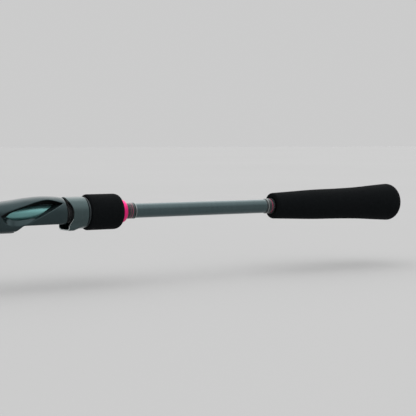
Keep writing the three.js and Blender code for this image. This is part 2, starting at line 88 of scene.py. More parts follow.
# ---------------------------------------------------------------- the frame, in millimetres


def node_box(node):
    """Lowest and highest corner of a CAD node."""
    low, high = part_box(node)
    return np.array(low) / MM, np.array(high) / MM


def node_span(node):
    """Lowest x, highest x and outer radius of a CAD node that is turned about the rod's axis."""
    low, high = node_box(node)
    return low[0], high[0], high[2]


HANDLE_RADIUS = node_span("butt_blank")[2]
TAPER_START_X = -440
TIP_X, MOUTH_X, MOUTH_RADIUS = node_span("tip_blank")
BUTT_END_RADIUS = 3.75  # of the butt section, where it enters the tip section
TIP_RADIUS = 0.85
SPIGOT_END_X = node_box("butt_blank")[0][0]
SPIGOT_END_RADIUS = 3.6
BLANK_WALL = 0.8
GLUE_GAP = 0.03  # between the blank and what is glued or wound on it


def mix(start, end, share):
    """The value a share of the way from start to end."""
    return start + (end - start) * share


def butt_radius(x):
    """Radius of the butt section's blank at a place along it."""
    return np.interp(x, [MOUTH_X, TAPER_START_X], [BUTT_END_RADIUS, HANDLE_RADIUS])


def tip_radius(x):
    """Radius of the tip section's blank at a place along it."""
    return np.interp(x, [TIP_X, MOUTH_X], [TIP_RADIUS, MOUTH_RADIUS])


# ---------------------------------------------------------------- making pieces


def new_piece(node, shape, material):
    """A mesh that stands for a CAD node, rides on its body and takes its finish."""
    points, faces, *normals = shape
    mesh = bpy.data.meshes.new(f"fine_{node}")
    mesh.from_pydata((np.asarray(points) * MM).tolist(), [], np.asarray(faces).tolist())
    if not normals:
        tidy_mesh(mesh)
    mesh.shade_smooth()
    if normals:
        mesh.normals_split_custom_set_from_vertices(normals[0].tolist())
    mesh.materials.append(material)
    piece = bpy.data.objects.new(mesh.name, mesh)
    bpy.context.scene.collection.objects.link(piece)
    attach(piece, BODY_OF[node])
    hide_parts(node)
    return piece


def tidy_mesh(mesh):
    """Merges the points that meet on the axis and turns every face outwards."""
    work = bmesh.new()
    work.from_mesh(mesh)
    bmesh.ops.remove_doubles(work, verts=work.verts, dist=1e-7)
    bmesh.ops.recalc_face_normals(work, faces=work.faces)
    work.to_mesh(mesh)
    work.free()


def second_finish(piece, material, chosen):
    """Gives the faces whose centre, in millimetres, passes the test a second material."""
    piece.data.materials.append(material)
    centres = np.empty(3 * len(piece.data.polygons))
    piece.data.polygons.foreach_get("center", centres)
    x, y, z = centres.reshape(-1, 3).T / MM
    piece.data.polygons.foreach_set("material_index", chosen(x, y, z).astype(int))


def grid_faces(rows, columns):
    """Quads of a grid of points that closes on itself both ways."""
    i, j = np.meshgrid(np.arange(rows), np.arange(columns), indexing="ij")
    below, beside = (i + 1) % rows, (j + 1) % columns
    corners = [i * columns + j, i * columns + beside, below * columns + beside, below * columns + j]
    return np.stack(corners, -1).reshape(-1, 4)


def turned(outline, sides=TURN_SIDES, centre=(0, 0)):
    """A body turned about a line along X: outline is a closed loop of (x, radius)."""
    x, radius = np.array(outline, float).T
    angles = np.arange(sides) * 2 * math.pi / sides
    y = centre[0] + np.outer(radius, np.cos(angles))
    z = centre[1] + np.outer(radius, np.sin(angles))
    points = np.stack([np.repeat(x, sides), y.ravel(), z.ravel()], 1)
    return points, grid_faces(len(x), sides)


def rounded(corners, radius=EDGE):
    """A closed outline with rounded corners: each corner is (x, radius) or (x, radius, rounding)."""
    outline = []
    count = len(corners)
    for i, corner in enumerate(corners):
        here = Vector(corner[:2])
        rounding = corner[2] if len(corner) > 2 else radius
        to_last = Vector(corners[i - 1][:2]) - here
        to_next = Vector(corners[(i + 1) % count][:2]) - here
        half_angle = to_last.angle(to_next) / 2
        reach = min(rounding / math.tan(half_angle), 0.45 * to_last.length, 0.45 * to_next.length)
        if reach < 0.01:
            outline.append(here)
            continue
        start = here + to_last.normalized() * reach
        end = here + to_next.normalized() * reach
        outline.append(start + to_last.normalized() * 0.04)
        for step in range(6):
            share = step / 5
            outline.append(start * (1 - share) ** 2 + here * 2 * share * (1 - share) + end * share**2)
        outline.append(end + to_next.normalized() * 0.04)
    return outline


def smooth_curve(stations):
    """A smooth curve through (x, height) stations, straight beyond its ends, as a function of x."""
    at, height = np.array(stations, float).T
    slope = np.gradient(height, at)
    beyond, fineness = 20, 0.1
    x = np.arange(at[0] - beyond, at[-1] + beyond, fineness)
    inside = np.clip(x, at[0], at[-1])
    i = np.clip(np.searchsorted(at, inside) - 1, 0, len(at) - 2)
    step = at[i + 1] - at[i]
    t = (inside - at[i]) / step
    value = (2 * t**3 - 3 * t**2 + 1) * height[i] + (3 * t**2 - 2 * t**3) * height[i + 1]
    value += step * ((t**3 - 2 * t**2 + t) * slope[i] + (t**3 - t**2) * slope[i + 1])
    value += np.where(x < at[0], slope[0], slope[-1]) * (x - inside)
    return lambda place: np.interp(place, x, value)


def swept_outline(stations, steps):
    """Points at even steps along a smooth curve through (x, radius) stations."""
    x = np.linspace(stations[0][0], stations[-1][0], steps)
    return list(zip(x, smooth_curve(stations)(x)))


# ---------------------------------------------------------------- shapes from a distance field
# A field is a function of x, y and z that is negative inside the piece and about a distance.


def smooth_max(a, b, blend):
    """The larger of two fields, with the edge where they cross rounded."""
    overlap = np.maximum(blend - np.abs(a - b), 0) / blend
    return np.maximum(a, b) + overlap**2 * blend / 4


def carve(body, hole, blend=0.6):
    """The body without the hole, with the rim broken."""
    return smooth_max(body, -hole, blend)


def unite(a, b, blend=0.6):
    """Two bodies joined, with a fillet between them."""
    return -smooth_max(-a, -b, blend)


def meet(fields, blend=0.6):
    """The space that is inside all of the fields."""
    result = fields[0]
    for field in fields[1:]:
        result = smooth_max(result, field, blend)
    return result


def wire_field(x, y, z, path, start_radius, end_radius):
    """A round wire along a list of points, tapering from one radius to the other."""
    result = np.full(np.shape(x), 1e3)
    radii = np.linspace(start_radius, end_radius, len(path))
    for (a, b), radius in zip(zip(path, path[1:]), radii):
        along = b - a
        share = ((x - a[0]) * along[0] + (y - a[1]) * along[1] + (z - a[2]) * along[2]) / along.dot(along)
        share = np.clip(share, 0, 1)
        gap = [p - (a[k] + along[k] * share) for k, p in enumerate((x, y, z))]
        result = np.minimum(result, np.sqrt(gap[0] ** 2 + gap[1] ** 2 + gap[2] ** 2) - radius)
    return result


def bow(start, middle, end, steps=10):
    """Points along a quadratic curve."""
    start, middle, end = (np.array(p, float) for p in (start, middle, end))
    shares = np.linspace(0, 1, steps)
    return [start * (1 - t) ** 2 + middle * 2 * t * (1 - t) + end * t**2 for t in shares]


def sculpted(field, low, high, step):
    """Points, faces and normals of the surface where the field is zero, inside a box."""
    axes = [np.arange(a - 2 * step, b + 3 * step, step) for a, b in zip(low, high)]
    x, y, z = np.meshgrid(*axes, indexing="ij")
    grid = openvdb.FloatGrid(step * 3)
    grid.copyFromArray(np.clip(field(x, y, z), -3 * step, 3 * step).astype(np.float32))
    points, quads = grid.convertToQuads(0)
    points = points.astype(float) * step + [axis[0] for axis in axes]
    nudge = 0.02
    for _ in range(3):
        slope = np.stack([
            field(*(points + offset).T) - field(*(points - offset).T) for offset in np.eye(3) * nudge
        ], 1) / (2 * nudge)
        size = np.maximum((slope**2).sum(1), 0.05)
        move = np.clip(field(*points.T) / size, -step, step)
        points = points - slope * move[:, None]
    return points, quads, slope / np.sqrt((slope**2).sum(1))[:, None]


# ---------------------------------------------------------------- finishes


class Finish:
    """A material with one Principled shader, and the nodes that feed it."""

    def __init__(self, name, sockets):
        self.material = bpy.data.materials.new(name)
        self.material.use_nodes = True
        self.tree = self.material.node_tree
        self.shader = self.tree.nodes["Principled BSDF"]
        for socket, value in sockets.items():
            self.shader.inputs[socket].default_value = value
        self.place = self.node("ShaderNodeTexCoord").outputs["Object"]

    def node(self, kind, inputs=(), **settings):
        node = self.tree.nodes.new(kind)
        for setting, value in settings.items():
            setattr(node, setting, value)
        for socket, value in dict(inputs).items():
            if isinstance(value, bpy.types.NodeSocket):
                self.tree.links.new(value, node.inputs[socket])
            else:
                node.inputs[socket].default_value = value
        return node

    def feed(self, socket, source):
        self.tree.links.new(source, self.shader.inputs[socket])

    def stretched(self, scale):
        """The place on the piece, scaled by axis."""
        return self.node("ShaderNodeMapping", {"Vector": self.place, "Scale": scale}).outputs[0]

    def noise(self, size, detail=2, stretch=(1, 1, 1)):
        """Cloudy noise with features of a size in millimetres."""
        inputs = {"Vector": self.stretched(stretch), "Scale": 1 / (size * MM), "Detail": detail}
        return self.node("ShaderNodeTexNoise", inputs).outputs["Fac"]

    def cells(self, size, output="Distance"):
        """Small cells of a size in millimetres."""
        inputs = {"Vector": self.place, "Scale": 1 / (size * MM)}
        return self.node("ShaderNodeTexVoronoi", inputs).outputs[output]

    def rerange(self, value, low, high, from_low=0.0, from_high=1.0):
        inputs = {0: value, 1: from_low, 2: from_high, 3: low, 4: high}
        return self.node("ShaderNodeMapRange", inputs).outputs[0]

    def math(self, operation, *values):
        return self.node("ShaderNodeMath", dict(enumerate(values)), operation=operation).outputs[0]

    def blend(self, share, first, second):
        inputs = {0: share, 6: first, 7: second}
        return self.node("ShaderNodeMix", inputs, data_type="RGBA").outputs[2]

    def relief(self, height, depth, last=None):
        """A bump of a depth in millimetres, on top of the last one."""
        inputs = {"Height": height, "Distance": depth * MM}
        if last is not None:
            inputs["Normal"] = last
        bump = self.node("ShaderNodeBump", inputs).outputs[0]
        self.feed("Normal", bump)
        return bump


def colour(red, green, blue):
    return (red, green, blue, 1)


def eva_foam():
    """Closed-cell foam, sanded round: cells 0.3 mm across, cut open, in a matte skin."""
    finish = Finish("eva_foam", {"Roughness": 0.92, "Specular IOR Level": 0.06})
    mottling = finish.noise(2.5, 4)
    cells = finish.cells(0.33)
    tone = finish.math("ADD", finish.rerange(mottling, -0.25, 0.25), cells)
    dark, light = colour(0.0015, 0.002, 0.0024), colour(0.007, 0.0085, 0.0095)
    finish.feed("Base Color", finish.blend(tone, dark, light))
    grain = finish.relief(cells, 0.05)
    finish.relief(finish.noise(0.9, 3), 0.05, grain)
    return finish.material


def seat_lacquer():
    """Gunmetal lacquer with a teal cast and fine metal flake, under a clear coat."""
    finish = Finish("seat_lacquer", {
        "Metallic": 0.9, "Roughness": 0.32, "Coat Weight": 0.3, "Coat Roughness": 0.1})
    flake = finish.cells(0.12, "Color")
    shade = finish.rerange(finish.noise(6, 2), 0.1, 0.6)
    share = finish.math("MULTIPLY", shade, finish.node("ShaderNodeSeparateXYZ", {0: flake}).outputs[0])
    finish.feed("Base Color", finish.blend(share, colour(0.017, 0.033, 0.036), colour(0.041, 0.068, 0.073)))
    finish.feed("Roughness", finish.rerange(finish.noise(1.2, 3), 0.31, 0.41))
    finish.relief(finish.noise(0.35, 2), 0.004)
    return finish.material


def hood_metal():
    """The sliding hood's satin finish, brushed round the axis."""
    finish = Finish("hood_metal", {
        "Metallic": 0.9, "Roughness": 0.34, "Coat Weight": 0.3, "Coat Roughness": 0.2})
    brushing = finish.noise(0.14, 3, stretch=(1, 0.03, 0.03))
    dark, light = colour(0.036, 0.062, 0.064), colour(0.064, 0.095, 0.098)
    finish.feed("Base Color", finish.blend(brushing, dark, light))
    finish.feed("Roughness", finish.rerange(brushing, 0.26, 0.40))
    finish.relief(brushing, 0.006)
    return finish.material


def satin_sleeve():
    """A pale teal satin sleeve, fine-blasted."""
    finish = Finish("satin_sleeve", {"Metallic": 0.8, "Roughness": 0.38})
    grain = finish.noise(0.12, 2)
    finish.feed("Base Color", finish.blend(grain, colour(0.12, 0.29, 0.285), colour(0.18, 0.38, 0.375)))
    finish.feed("Roughness", finish.rerange(finish.noise(3, 3), 0.32, 0.42))
    finish.relief(grain, 0.005)
    return finish.material


def painted_arch_shade():
    """Near-black matte finish on the slant under the seat's arch: painted shade for the dark under the
    arch.
    """
    finish = Finish("painted_arch_shade", {"Roughness": 0.8, "Specular IOR Level": 0.1})
    grain = finish.noise(0.2, 3)
    finish.feed("Base Color", finish.blend(grain, colour(0.002, 0.002, 0.002), colour(0.006, 0.007, 0.007)))
    finish.relief(grain, 0.01)
    return finish.material


def black_nylon():
    """Moulded filled nylon with a faint spark-eroded texture."""
    finish = Finish("black_nylon", {"Roughness": 0.5})
    grain = finish.noise(0.25, 3)
    finish.feed("Base Color", finish.blend(grain, colour(0.012, 0.013, 0.014), colour(0.024, 0.026, 0.027)))
    finish.feed("Roughness", finish.rerange(grain, 0.42, 0.58))
    finish.relief(grain, 0.012)
    return finish.material


def turned_metal(name, dark, light, roughness, metallic=1.0):
    """Metal turned on a lathe: fine tool lines round the axis."""
    finish = Finish(name, {"Metallic": metallic, "Roughness": roughness})
    lines = finish.noise(0.1, 2, stretch=(1, 0.02, 0.02))
    finish.feed("Base Color", finish.blend(lines, colour(*dark), colour(*light)))
    finish.feed("Roughness", finish.rerange(lines, roughness - 0.05, roughness + 0.07))
    finish.relief(lines, 0.004)
    return finish.material


def guide_metal():
    """Polished dark plating on pressed guide frames."""
    finish = Finish("guide_metal", {"Metallic": 1.0, "Roughness": 0.2})
    waves = finish.noise(0.8, 3)
    finish.feed("Base Color", finish.blend(waves, colour(0.085, 0.092, 0.1), colour(0.13, 0.14, 0.15)))
    finish.feed("Roughness", finish.rerange(waves, 0.14, 0.26))
    finish.relief(waves, 0.01)
    return finish.material


def guide_ceramic():
    """Lapped black ceramic."""
    finish = Finish("guide_ceramic", {"Roughness": 0.08, "Coat Weight": 0.6, "Coat Roughness": 0.03})
    clouds = finish.noise(0.6, 3)
    dark, light = colour(0.012, 0.013, 0.015), colour(0.022, 0.024, 0.027)
    finish.feed("Base Color", finish.blend(clouds, dark, light))
    finish.feed("Roughness", finish.rerange(clouds, 0.05, 0.12))
    return finish.material


def butt_rubber():
    """Moulded rubber with a fine matte texture."""
    finish = Finish("butt_rubber", {"Roughness": 0.8, "Specular IOR Level": 0.2})
    grain = finish.noise(0.3, 4)
    finish.feed("Base Color", finish.blend(grain, colour(0.006, 0.006, 0.007), colour(0.014, 0.015, 0.016)))
    finish.feed("Roughness", finish.rerange(grain, 0.7, 0.9))
    finish.relief(grain, 0.03)
    return finish.material


def carbon_blank():
    """Ground carbon blank: fibres along the rod and faint tape turns, under clear gloss."""
    finish = Finish("carbon_blank", {
        "Metallic": 0.8, "Roughness": 0.26, "Coat Weight": 0.4, "Coat Roughness": 0.04})
    fibres = finish.noise(0.12, 2, stretch=(0.01, 1, 1))
    tape = finish.noise(2.2, 1, stretch=(1, 0.15, 0.15))
    tone = finish.math("ADD", finish.rerange(fibres, 0.0, 0.6), finish.rerange(tape, 0.0, 0.4))
    finish.feed("Base Color", finish.blend(tone, colour(0.030, 0.056, 0.060), colour(0.062, 0.098, 0.104)))
    finish.relief(fibres, 0.003)
    return finish.material


def thread_epoxy(name, lines=()):
    """Dark thread wound side by side under clear epoxy. Each of the lines is a metallic turn of another
    colour: its x, its width and its colour."""
    finish = Finish(name, {
        "Roughness": 0.5, "Specular IOR Level": 0.1, "Coat Weight": 0.8, "Coat Roughness": 0.03})
    x = finish.node("ShaderNodeSeparateXYZ", {0: finish.place}).outputs[0]
    pitch = 0.16
    turns = finish.math("SINE", finish.math("MULTIPLY", x, 2 * math.pi / (pitch * MM)))
    ridges = finish.rerange(turns, 0, 1, -1, 1)
    tone = finish.blend(ridges, colour(0.006, 0.010, 0.011), colour(0.022, 0.032, 0.035))
    for centre, width, shade in lines:
        off = finish.math("ABSOLUTE", finish.math("SUBTRACT", x, centre * MM))
        tone = finish.blend(finish.math("LESS_THAN", off, width / 2 * MM), tone, colour(*shade))
    finish.feed("Base Color", tone)
    finish.relief(ridges, 0.012)
    return finish.material


PINK = (0.62, 0.03, 0.14)
SILVER = (0.45, 0.48, 0.48)

FOAM = eva_foam()
LACQUER = seat_lacquer()
HOOD = hood_metal()
SLEEVE = satin_sleeve()
# Painted shade under the seat's arch, given as a near-black finish.
ARCH_SHADE = painted_arch_shade()
NYLON = black_nylon()
PINK_METAL = turned_metal("pink_anodised", (0.78, 0.016, 0.17), (0.90, 0.030, 0.24), 0.32, 0.85)
DARK_METAL = turned_metal("dark_anodised", (0.035, 0.042, 0.045), (0.065, 0.075, 0.08), 0.28)
# Polished chamfer metal for the hood's lower front rim, much lighter than the hood: partly a real chamfer,
# partly painted highlight.
RIM_HIGHLIGHT_METAL = turned_metal("bright_trim", (0.45, 0.50, 0.50), (0.62, 0.66, 0.66), 0.22)
GREY_METAL = turned_metal("grey_trim", (0.15, 0.175, 0.175), (0.23, 0.26, 0.26), 0.22)
RUBBER = butt_rubber()
BLANK = carbon_blank()
GUIDE = guide_metal()
CERAMIC = guide_ceramic()
THREAD = thread_epoxy("thread_epoxy")


# ---------------------------------------------------------------- blank and rear grip


def tube(outer, inner):
    """A closed outline of a tube, from its outside and its inside as lists of (x, radius)."""
    return [*outer, *reversed(inner)]


def wound(start, end, bore, wall):
    """The outline of thread wound on the blank, whose epoxy runs out to nothing at both ends."""
    ramp = min(1.2, (end - start) / 3)
    outer = []
    for share in np.linspace(0, 1, 7):
        outer.append((start + ramp * share, bore + 0.05 + (wall - 0.05) * math.sin(share * math.pi / 2)))
    outer += [(start + end - x, radius) for x, radius in reversed(outer)]
    return tube(outer, [(start, bore), (end, bore)])


def make_blank():
    low_x, high_x, _ = node_span("butt_blank")
    outer = [(low_x, SPIGOT_END_RADIUS), (MOUTH_X, BUTT_END_RADIUS), (TAPER_START_X, HANDLE_RADIUS),
             (high_x, HANDLE_RADIUS)]
    inner = [(x, radius - BLANK_WALL) for x, radius in outer]
    new_piece("butt_blank", turned(rounded(tube(outer, inner), 0.15)), BLANK)

    past_spigot_x = SPIGOT_END_X - 15
    fit = 0.06
    socket = [(TIP_X, TIP_RADIUS / 2), (past_spigot_x, tip_radius(past_spigot_x) - 0.7),
              (SPIGOT_END_X, SPIGOT_END_RADIUS + fit), (MOUTH_X, BUTT_END_RADIUS + fit)]
    outer = [(TIP_X, TIP_RADIUS), (MOUTH_X, MOUTH_RADIUS)]
    new_piece("tip_blank", turned(rounded(tube(outer, socket), 0.15)), BLANK)

    start, end, radius = node_span("ferrule_wrap")
    lines = [(end - 3, 0.5, PINK), (start + 3, 0.5, PINK)]
    bore = MOUTH_RADIUS + GLUE_GAP
    new_piece("ferrule_wrap", turned(wound(start, end, bore, radius - bore)),
              thread_epoxy("ferrule_thread", lines))


def make_rear_grip():
    front, rear, flare = node_span("rear_grip")
    _, cap_rear, cap_radius = node_span("butt_cap")
    cap_front = rear - 3.2
    waist = 10.3  # radius at the front end
    dome = 7  # length of the rounded rear end
    side = swept_outline([
        (front + 1.2, waist), (-110, 11.1), (-88, 12.05), (-60, 12.6), (-40, 13.35), (-24, 14.45),
        (-14, flare - 0.3), (rear - dome, flare)], 40)
    end_radius = cap_radius + 0.9
    end = [(rear - dome * (1 - math.sin(turn)), end_radius + (flare - end_radius) * math.cos(turn))
           for turn in np.linspace(0, math.pi / 2, 14)]
    inner = [(front, HANDLE_RADIUS + 0.1), (cap_front, HANDLE_RADIUS + 0.1), (cap_front, cap_radius + 0.1),
             (rear - 0.4, cap_radius + 0.1), (rear - 0.1, cap_radius + 0.3)]
    outline = [(front, waist - 1.0), (front + 0.15, waist - 0.5), (front + 0.5, waist - 0.15), *side,
               *end[1:]]
    new_piece("rear_grip", turned(tube(outline, inner), GRIP_SIDES), FOAM)

    low_x = node_span("butt_cap")[0]
    plug_radius = HANDLE_RADIUS - 1.3
    seat_x = cap_front + 0.2
    groove_x = cap_rear - 0.4  # floor of a shallow groove round the cap's face
    cap = rounded([
        (low_x, 0, 0), (low_x, plug_radius, 0.8), (seat_x, plug_radius), (seat_x, cap_radius),
        (cap_rear, cap_radius, 1.2), (cap_rear, cap_radius - 2.2, 0.2), (groove_x, cap_radius - 2.5, 0.2),
        (groove_x, cap_radius - 3.1, 0.2), (cap_rear, cap_radius - 3.4, 0.2), (cap_rear, 0, 0)])
    new_piece("butt_cap", turned(cap), RUBBER)


def plain_ring(node, bore, material, edge=0.2):
    """A ring with rounded edges, in a CAD node's place."""
    start, end, radius = node_span(node)
    corners = [(start, bore), (start, radius), (end, radius), (end, bore)]
    return new_piece(node, turned(rounded(corners, edge)), material)


def make_trim():
    bore = HANDLE_RADIUS + GLUE_GAP
    plain_ring("rear_grip_check", bore, DARK_METAL)
    plain_ring("front_trim_ring", bore, GREY_METAL, 0.15)

    start, end, radius = node_span("rear_trim_wrap")
    lines = [(end - 1.6, 0.3, PINK), (end - 0.4, 0.3, SILVER), (start + 1.3, 0.25, SILVER)]
    new_piece("rear_trim_wrap", turned(wound(start, end, bore, radius - bore)),
              thread_epoxy("rear_trim_thread", lines))

    start, end, radius = node_span("front_trim_wrap")
    lines = [(end - 4.2, 0.12, PINK), (end - 2.5, 0.22, PINK)]
    new_piece("front_trim_wrap", turned(wound(start, end, bore, radius - bore)),
              thread_epoxy("front_trim_thread", lines))


# ---------------------------------------------------------------- reel seat

SEAT_FRONT_X, SEAT_REAR_X, _ = node_span("reel_seat_body")
SEAT_BORE = 6.3
BED_Z = RECORD["mounts"][[m["name"] for m in RECORD["mounts"]].index("reel_bed")]["pos_m"][2] / MM
POCKET_HALF_WIDTH = 7.9
POCKET_FLOOR_Z = -11.75
POCKET_FRONT_X = -371
MOUTH_LIP_X, MOUTH_LIP_Z = -357, -14  # a point on the fixed hood's slanted mouth, just under its lip

# Outside of the seat along the rod: top, underside and half-width, all measured from the axis. The
# underside's section is a superellipse: 2 is round, more is squarer.
SEAT_TOP = smooth_curve([
    (SEAT_FRONT_X, 8.5), (-390, 8.8), (-378, 9), (-366, 9.3), (-357, 10.2), (-344, 11.8), (-333, 12.5),
    (-324, 12.2), (-318, 11.6), (SEAT_REAR_X, 10.9)])
SEAT_UNDERSIDE = smooth_curve([
    (SEAT_FRONT_X, 8.5), (-390, 9.9), (-378, 12), (-366, 12.8), (-357, 12.8), (-344, 12.6), (-333, 12.2),
    (-324, 11.8), (-318, 11.4), (SEAT_REAR_X, 10.9)])
SEAT_HALF_WIDTH = smooth_curve([
    (SEAT_FRONT_X, 8.5), (-390, 9), (-378, 9.8), (-366, 10.4), (-357, 10.9), (-344, 11.2), (-333, 11.3),
    (-324, 11.2), (-318, 11), (SEAT_REAR_X, 10.5)])
SEAT_SQUARENESS = smooth_curve([
    (SEAT_FRONT_X, 2), (-390, 2.3), (-378, 3), (-366, 3.6), (-357, 3.4), (-344, 2.5), (-333, 2),
    (SEAT_REAR_X, 2)])


class SlantedEdge:
    """The upper or lower edge of the almond window in each side, cut on a slant from a rim on the
    seat's skin to a rim beside the sleeve. A rim is a list of (x, distance from the middle plane, z)."""

    def __init__(self, outside, inside):
        self.outer_y, self.outer_z = (smooth_curve([(p[0], p[k]) for p in outside]) for k in (1, 2))
        self.inner_y, self.inner_z = (smooth_curve([(p[0], p[k]) for p in inside]) for k in (1, 2))

    def height(self, x, y):
        inner_y = self.inner_y(x)
        share = np.clip((np.abs(y) - inner_y) / (self.outer_y(x) - inner_y), 0, 1)
        return mix(self.inner_z(x), self.outer_z(x), share)

    def above(self, x, y, z):
        """How far a point lies above the edge, square to it."""
        nudge = 0.2
        slope_x = (self.height(x + nudge, y) - self.height(x - nudge, y)) / (2 * nudge)
        slope_y = (self.height(x, y + nudge) - self.height(x, y - nudge)) / (2 * nudge)
        return (z - self.height(x, y)) / np.sqrt(1 + slope_x**2 + slope_y**2)


WINDOW_TOP = SlantedEdge(
    [(-367, 10.2, -0.3), (-362.5, 10, 1.9), (-355.5, 9.4, 4.2), (-347, 8.3, 6.5), (-339, 6.5, 8.6),
     (-329, 5.3, 9.9), (-318.5, 7.6, 7.4)],
    [(-361, 6.2, -0.9), (-358.5, 5.9, 0.9), (-354, 5.5, 2.7), (-347, 4.8, 4.8), (-339, 3.8, 6.1),
     (-332, 3, 6.9), (-322.5, 3, 7.1)])
WINDOW_SILL = SlantedEdge(
    [(-367, 10.2, -0.3), (-364, 10.2, -4.3), (-358, 10.2, -7), (-350, 10.2, -6.9), (-341, 10.2, -3.4),
     (-330, 10, 1.9), (-318.5, 7.6, 7.4)],
    [(-361, 6.2, -0.9), (-359.5, 8.2, -2.3), (-355, 8.2, -3.4), (-348, 8.2, -3.2), (-340, 8.2, -1.7),
     (-331.5, 7.6, 2.4), (-322.5, 3, 7.1)])
WINDOW_WEB = 2  # half the thickness of what is left above the sleeve between the two windows


def window_field(x, y, z):
    """The two windows, which stop short of each other above the sleeve."""
    opening = smooth_max(WINDOW_TOP.above(x, y, z), -WINDOW_SILL.above(x, y, z), 0.5)
    return smooth_max(opening, WINDOW_WEB - np.abs(y), 0.5)


def fixed_pocket_field(x, y, z):
    """The space in the fixed hood for the front end of a reel's foot."""
    floor = np.interp(x, [POCKET_FRONT_X, POCKET_FRONT_X + 7], [-9.6, POCKET_FLOOR_Z])
    return meet([np.abs(y) - POCKET_HALF_WIDTH, floor - z, z - BED_Z - 0.3, POCKET_FRONT_X - x], 2)


def seat_field(x, y, z):
    """The seat body: its outside, less the bed, the fixed hood's pocket, the windows and the bore."""
    power = np.where(z < 0, SEAT_SQUARENESS(x), 2)
    height = np.where(z < 0, SEAT_UNDERSIDE(x), SEAT_TOP(x))
    size = (np.abs(y / SEAT_HALF_WIDTH(x)) ** power + np.abs(z / height) ** power) ** (1 / power)
    from_axis = np.hypot(y, z)
    body = from_axis * (1 - 1 / np.maximum(size, 1e-3))
    body = meet([body, SEAT_FRONT_X - x, x - SEAT_REAR_X], 1.2)
    run, rise = 7.5, 6.5  # of the mouth's slant
    mouth = ((MOUTH_LIP_X - x) * rise + (z - MOUTH_LIP_Z) * run) / math.hypot(run, rise)
    body = carve(body, meet([z - BED_Z, mouth], 1.0), 0.8)
    body = carve(body, fixed_pocket_field(x, y, z), 0.5)
    body = carve(body, window_field(x, y, z), 0.7)
    return carve(body, from_axis - SEAT_BORE, 0.4)


def make_seat():
    low, high = node_box("reel_seat_body")
    seat = new_piece("reel_seat_body", sculpted(seat_field, low, high, 0.3), LACQUER)

    # Faces on the slant under the arch, which take the near-black painted shade.
    def arch_shade_faces(x, y, z):
        on_slant = np.abs(WINDOW_TOP.above(x, y, z)) < 0.25
        off_sill = (WINDOW_SILL.above(x, y, z) > 0.1) & (z > -0.6)
        return on_slant & off_sill & (np.abs(y) < WINDOW_TOP.outer_y(x) - 0.1)

    second_finish(seat, ARCH_SHADE, arch_shade_faces)
    start, end, _ = node_span("core_sleeve")
    sleeve_radius = SEAT_BORE - 0.1
    sleeve = [(start, sleeve_radius), (end, sleeve_radius)]
    bore = [(start, HANDLE_RADIUS + GLUE_GAP), (end, HANDLE_RADIUS + GLUE_GAP)]
    new_piece("core_sleeve", turned(rounded(tube(sleeve, bore), 0.2)), SLEEVE)


def make_barrel():
    """The threaded barrel: a trapezoid thread with a keyway along its top."""
    start, end, _ = node_span("threaded_barrel")
    crest = node_box("threaded_barrel")[1][1]
    root = crest - 0.55
    keyway_half_width = 1.4
    keyway_floor = crest - 0.9
    key_angle = math.asin(keyway_half_width / crest)
    arc = np.linspace(math.pi / 2 + key_angle, math.pi / 2 - key_angle + 2 * math.pi, 120)
    y_key = [keyway_half_width, -keyway_half_width]
    z_key = [keyway_floor, keyway_floor]
    columns = len(arc) + len(y_key)
    rows = []
    for x in np.arange(start, end + 0.001, THREAD_PITCH / 16):
        turn = (x / THREAD_PITCH - arc / (2 * math.pi)) % 1
        depth = np.clip((np.abs(turn - 0.5) - 0.13) / 0.12, 0, 1)
        run_out = min(1, (x - start) / 1.5, (end - x) / 1.5)
        radius = np.minimum(mix(root, crest, depth), mix(root, crest, run_out))
        y, z = radius * np.cos(arc), radius * np.sin(arc)
        rows.append(np.stack([np.full(columns, x), [*y, *y_key], [*z, *z_key]], 1))
    bore = HANDLE_RADIUS + GLUE_GAP
    around = np.arctan2(rows[0][:, 2], rows[0][:, 1])
    for x in (end, start):
        rows.append(np.stack([np.full(columns, x), bore * np.cos(around), bore * np.sin(around)], 1))
    shape = np.concatenate(rows), grid_faces(len(rows), columns)
    piece = new_piece("threaded_barrel", shape, NYLON)
    piece.data.set_sharp_from_angle(angle=math.radians(50))


# ---------------------------------------------------------------- moving hood and lock nut

HOOD_FRONT_X, HOOD_REAR_X, HOOD_RADIUS = node_span("moving_hood")
HOOD_WALL = 1.1
HOOD_FLOOR_Z = node_box("moving_hood")[0][2]
SCALLOP_RADIUS = 16
SCALLOP_DEPTH = 3.2


def scallop_field(x, z):
    """The hollow in the hood's front edge, seen from the side."""
    return np.hypot(x - HOOD_FRONT_X - SCALLOP_DEPTH + SCALLOP_RADIUS, z) - SCALLOP_RADIUS


def hood_field(x, y, z):
    """The sliding hood: a band with a ridge under it for the foot's pocket, and a hollowed front edge."""
    from_axis = np.hypot(y, z)
    band = meet([from_axis - HOOD_RADIUS, HOOD_FRONT_X - x], 0.5)
    band = meet([band, x - HOOD_REAR_X], 1.4)
    taper = np.clip((x - HOOD_FRONT_X - 5) / (HOOD_REAR_X - 5.6 - HOOD_FRONT_X), 0, 1)
    half_width = mix(POCKET_HALF_WIDTH + 0.9, POCKET_HALF_WIDTH - 0.5, taper)
    floor = mix(HOOD_FLOOR_Z, -HOOD_RADIUS + 2.2, taper)
    ridge = meet([np.abs(y) - half_width, floor - z], 3.0)
    ridge = meet([ridge, HOOD_FRONT_X + 0.5 - x, x - HOOD_REAR_X + 0.6, z], 0.6)
    hood = unite(band, ridge, 1.5)
    hood = carve(hood, from_axis - HOOD_RADIUS + HOOD_WALL, 0.4)
    pocket_taper = np.clip((x - HOOD_FRONT_X - 5) / (HOOD_REAR_X - 8.5 - HOOD_FRONT_X), 0, 1)
    pocket_floor = mix(POCKET_FLOOR_Z, -HOOD_RADIUS + 3, pocket_taper)
    pocket = meet([np.abs(y) - POCKET_HALF_WIDTH, pocket_floor - z], 2.6)
    pocket = meet([pocket, x - HOOD_REAR_X + 3.5, z], 0.6)
    hood = carve(hood, pocket, 0.4)
    return carve(hood, scallop_field(x, z), 0.5)


